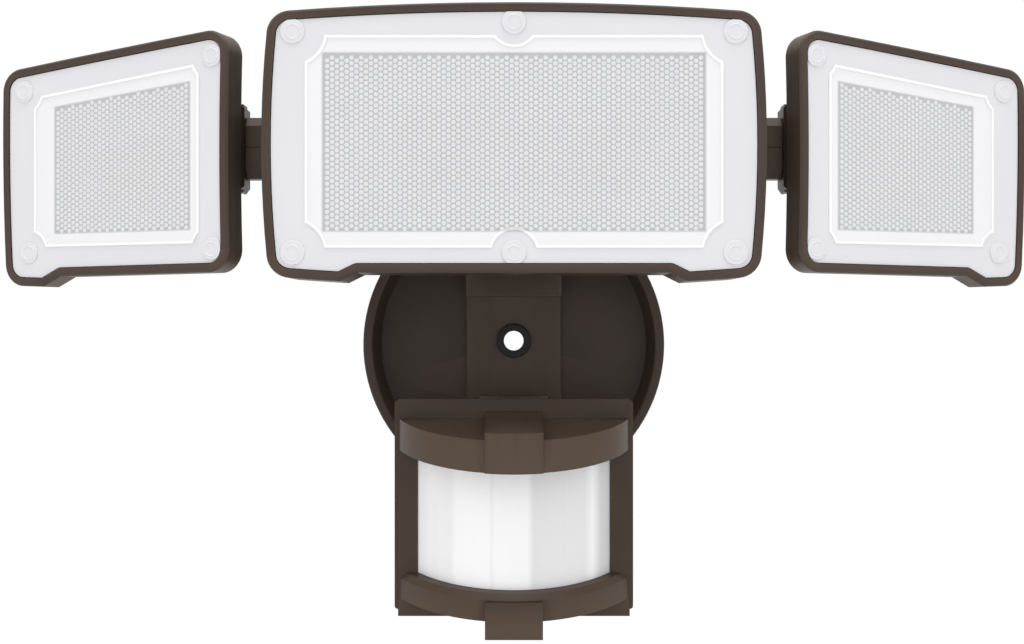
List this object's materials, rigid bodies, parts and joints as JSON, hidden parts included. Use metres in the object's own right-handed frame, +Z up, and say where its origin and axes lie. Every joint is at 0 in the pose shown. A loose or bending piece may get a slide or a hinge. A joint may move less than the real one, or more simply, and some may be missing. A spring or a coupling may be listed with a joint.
{
  "type": "motion sensor security light",
  "caption": "Wall-mounted outdoor LED security light: a wide centre head between two angled side heads on hinged arms, above a round canopy and a hooded motion sensor.",
  "frame": {"origin": "centre of the canopy's bolt hole on the wall plane", "axes": "+Z up, -Y out from the wall to the front, +X to the viewer's right"},
  "size_m": [0.3816, 0.095, 0.2231],
  "materials": {
    "bronze_metal": "dark bronze powder coat, satin",
    "bronze_plastic": "dark bronze moulded plastic, fine satin",
    "black_rubber": "matte",
    "black_plastic": "fine grain",
    "steel": "zinc plated",
    "lamp_lens": "frosted, pressed with small six-sided cells",
    "sensor_lens": "milky, upright facets",
    "white_tray": "white",
    "led_board": "white solder mask",
    "led": "yellow phosphor",
    "circuit_board": "green solder mask",
    "photocell": "amber window"
  },
  "bodies": {
    "canopy": {"canopy": "bronze_metal", "canopy_gasket": "black_rubber", "center_panel": "bronze_metal", "bolt_grommet": "black_rubber", "head_base": "bronze_metal", "driver_box": "black_plastic", "lead_bushing": "black_rubber", "base_screws": "steel", "tilt_bolt": "steel", "tilt_nut": "steel", "sensor_base": "bronze_plastic", "sensor_swivel_pin": "steel"},
    "center_head": {"center_housing": "bronze_metal", "center_bezel": "bronze_metal", "center_gasket": "black_rubber", "center_lens": "lamp_lens", "center_tray": "white_tray", "center_led_board": "led_board", "center_leds": "led", "center_screws": "steel", "left_arm_upper": "bronze_metal", "left_arm_lower": "bronze_metal", "right_arm_upper": "bronze_metal", "right_arm_lower": "bronze_metal", "arm_screws": "steel"},
    "left_knuckle": {"left_knuckle": "bronze_metal"},
    "left_head": {"left_housing": "bronze_metal", "left_bezel": "bronze_metal", "left_gasket": "black_rubber", "left_lens": "lamp_lens", "left_tray": "white_tray", "left_led_board": "led_board", "left_leds": "led", "left_screws": "steel", "left_swivel_pin": "steel"},
    "right_knuckle": {"right_knuckle": "bronze_metal"},
    "right_head": {"right_housing": "bronze_metal", "right_bezel": "bronze_metal", "right_gasket": "black_rubber", "right_lens": "lamp_lens", "right_tray": "white_tray", "right_led_board": "led_board", "right_leds": "led", "right_screws": "steel", "right_swivel_pin": "steel"},
    "sensor_knuckle": {"sensor_knuckle": "bronze_plastic"},
    "sensor": {"sensor_back": "bronze_plastic", "sensor_gasket": "black_rubber", "sensor_front": "bronze_plastic", "sensor_lens": "sensor_lens", "sensor_board": "circuit_board", "pir_element": "steel", "photocell": "photocell", "sensor_screws": "steel", "sensor_tilt_pin": "steel"},
    "time_knob": {"time_knob": "black_plastic"},
    "dusk_knob": {"dusk_knob": "black_plastic"},
    "mode_slider": {"mode_slider": "black_plastic"}
  },
  "joints": [
    {"name": "center_tilt", "type": "hinge", "parent": "canopy", "child": "center_head", "pos_m": [0, -0.044, 0.039], "axis": [1, 0, 0], "range_deg": [-20, 45]},
    {"name": "left_turn", "type": "hinge", "parent": "center_head", "child": "left_knuckle", "pos_m": [-0.097, -0.066, 0.0706], "axis": [1, 0, 0], "range_deg": [-30, 30]},
    {"name": "left_swivel", "type": "hinge", "parent": "left_knuckle", "child": "left_head", "pos_m": [-0.107, -0.066, 0.0706], "axis": [0, 0, -1], "range_deg": [-20, 30]},
    {"name": "right_turn", "type": "hinge", "parent": "center_head", "child": "right_knuckle", "pos_m": [0.097, -0.066, 0.0706], "axis": [1, 0, 0], "range_deg": [-30, 30]},
    {"name": "right_swivel", "type": "hinge", "parent": "right_knuckle", "child": "right_head", "pos_m": [0.107, -0.066, 0.0706], "axis": [0, 0, 1], "range_deg": [-20, 30]},
    {"name": "sensor_swivel", "type": "hinge", "parent": "canopy", "child": "sensor_knuckle", "pos_m": [0, -0.03, -0.038], "axis": [0, 0, 1], "range_deg": [-25, 25]},
    {"name": "sensor_tilt", "type": "hinge", "parent": "sensor_knuckle", "child": "sensor", "pos_m": [0, -0.041, -0.038], "axis": [1, 0, 0], "range_deg": [-15, 30]},
    {"name": "time_turn", "type": "hinge", "parent": "sensor", "child": "time_knob", "pos_m": [-0.012, -0.0633, -0.0969], "axis": [0, 0, 1], "range_deg": [-135, 135]},
    {"name": "dusk_turn", "type": "hinge", "parent": "sensor", "child": "dusk_knob", "pos_m": [0.012, -0.0633, -0.0969], "axis": [0, 0, 1], "range_deg": [-135, 135]},
    {"name": "mode_slide", "type": "slide", "parent": "sensor", "child": "mode_slider", "axis": [1, 0, 0], "range_m": [-0.003, 0.003]}
  ]
}
